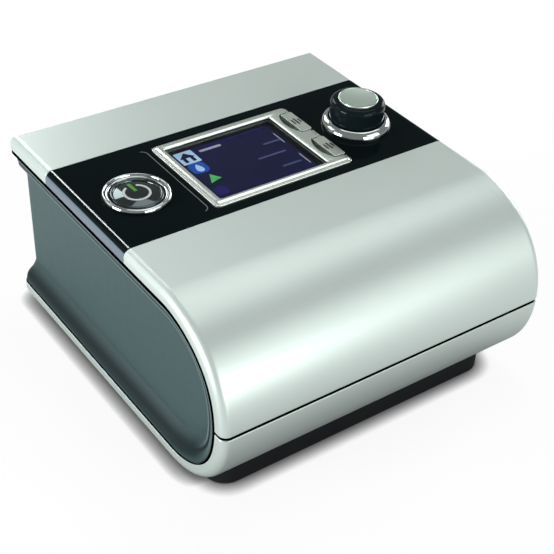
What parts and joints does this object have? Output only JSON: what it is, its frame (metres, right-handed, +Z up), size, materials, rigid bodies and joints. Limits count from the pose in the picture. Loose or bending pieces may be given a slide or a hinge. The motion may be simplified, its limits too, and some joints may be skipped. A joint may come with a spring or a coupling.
{
  "type": "bilevel positive airway pressure machine",
  "caption": "Bedside breathing therapy machine with a curved silver case, recessed side panels, glossy control band, colour screen, start button, soft keys, push dial and rear air outlet.",
  "frame": {"origin": "on the table surface, under the centre of the machine's bounding box", "axes": "+Z up; the rounded front faces -Y; +X is to the right as seen from the front, on the dial's side"},
  "size_m": [0.14, 0.153, 0.0865],
  "materials": {
    "silver_shell": "satin metallic paint on plastic",
    "gloss_black": "polished piano black",
    "slate_panel": "fine matte texture",
    "base_rubber": "matte",
    "soft_rubber": "matte",
    "chrome_trim": "polished",
    "satin_chrome": "satin plated",
    "screen_glass": "clear cover over the display",
    "display_metal": "thin steel frame",
    "steel": "machined",
    "brass": "plated",
    "stator_iron": "coated core",
    "board": "green solder resist",
    "white_plastic": "moulded",
    "dark_plastic": "moulded",
    "foam": "open-cell foam",
    "filter_felt": "pressed fibre"
  },
  "bodies": {
    "housing": {"rear_top_cover": "silver_shell", "front_cover": "silver_shell", "control_fascia": "gloss_black", "lower_shell": "silver_shell", "left_side_panel": "slate_panel", "right_side_panel": "slate_panel", "rear_panel": "slate_panel", "base_plinth": "base_rubber", "foot_front_left": "base_rubber", "foot_rear_left": "base_rubber", "foot_front_right": "base_rubber", "foot_rear_right": "base_rubber", "case_screw_front_left": "steel", "case_screw_rear_left": "steel", "case_screw_front_right": "steel", "case_screw_rear_right": "steel", "start_button_ring": "chrome_trim", "start_switch": "dark_plastic", "screen_bezel": "satin_chrome", "screen_window": "screen_glass", "display_module": "display_metal", "info_switch": "dark_plastic", "setup_switch": "dark_plastic", "dial_ring": "chrome_trim", "encoder_body": "dark_plastic", "control_board": "board", "main_board": "board", "clock_cell": "steel", "blower_base": "white_plastic", "blower_lid": "white_plastic", "motor_bearing": "brass", "motor_stator": "stator_iron", "blower_mount_rear": "soft_rubber", "blower_mount_front": "soft_rubber", "blower_mount_left": "soft_rubber", "intake_box": "dark_plastic", "intake_lid": "dark_plastic", "intake_foam": "foam", "outlet_coupler": "soft_rubber", "outlet_tube": "white_plastic", "power_inlet": "dark_plastic", "inlet_contacts": "brass", "card_socket": "steel", "data_port": "dark_plastic"},
    "start_key": {"start_button": "gloss_black"},
    "info_key": {"info_button": "satin_chrome"},
    "setup_key": {"setup_button": "satin_chrome"},
    "encoder": {"encoder_rotor": "white_plastic"},
    "dial": {"dial_shaft": "steel", "dial_knob": "gloss_black", "dial_cap": "satin_chrome"},
    "blower_rotor": {"impeller": "white_plastic", "motor_shaft": "steel", "motor_bell": "steel"},
    "filter_door": {"filter_cover": "slate_panel", "air_filter": "filter_felt"},
    "card": {"memory_card": "dark_plastic"},
    "clip": {"retention_clip": "dark_plastic"},
    "port_cap": {"data_port_cover": "base_rubber"}
  },
  "joints": [
    {"name": "start_button_press", "type": "slide", "parent": "housing", "child": "start_key", "axis": [0, 0, -1], "range_m": [0, 0.001], "stiffness_N_per_m": 1200, "springref_m": -0.0005},
    {"name": "info_button_press", "type": "slide", "parent": "housing", "child": "info_key", "axis": [0, 0, -1], "range_m": [0, 0.0006], "stiffness_N_per_m": 1500, "springref_m": -0.0004},
    {"name": "setup_button_press", "type": "slide", "parent": "housing", "child": "setup_key", "axis": [0, 0, -1], "range_m": [0, 0.0006], "stiffness_N_per_m": 1500, "springref_m": -0.0004},
    {"name": "dial_turn", "type": "hinge", "parent": "housing", "child": "encoder", "pos_m": [0.0481, 0.0111, 0.075], "axis": [0, 0, 1], "continuous": true},
    {"name": "dial_press", "type": "slide", "parent": "encoder", "child": "dial", "axis": [0, 0, -1], "range_m": [0, 0.0005], "stiffness_N_per_m": 4000, "springref_m": -0.0004},
    {"name": "blower_spin", "type": "hinge", "parent": "housing", "child": "blower_rotor", "pos_m": [-0.014, -0.006, 0.034], "axis": [0, 0, 1], "continuous": true},
    {"name": "filter_cover_pull", "type": "slide", "parent": "housing", "child": "filter_door", "axis": [0, 1, 0], "range_m": [0, 0.025]},
    {"name": "memory_card_pull", "type": "slide", "parent": "housing", "child": "card", "axis": [0, 1, 0], "range_m": [0, 0.026]},
    {"name": "retention_clip_swing", "type": "hinge", "parent": "housing", "child": "clip", "pos_m": [0.034, 0.0712, 0.025], "axis": [1, 0, 0], "range_deg": [0, 100]},
    {"name": "data_port_cover_pull", "type": "slide", "parent": "housing", "child": "port_cap", "axis": [0, 1, 0], "range_m": [0, 0.012]}
  ]
}
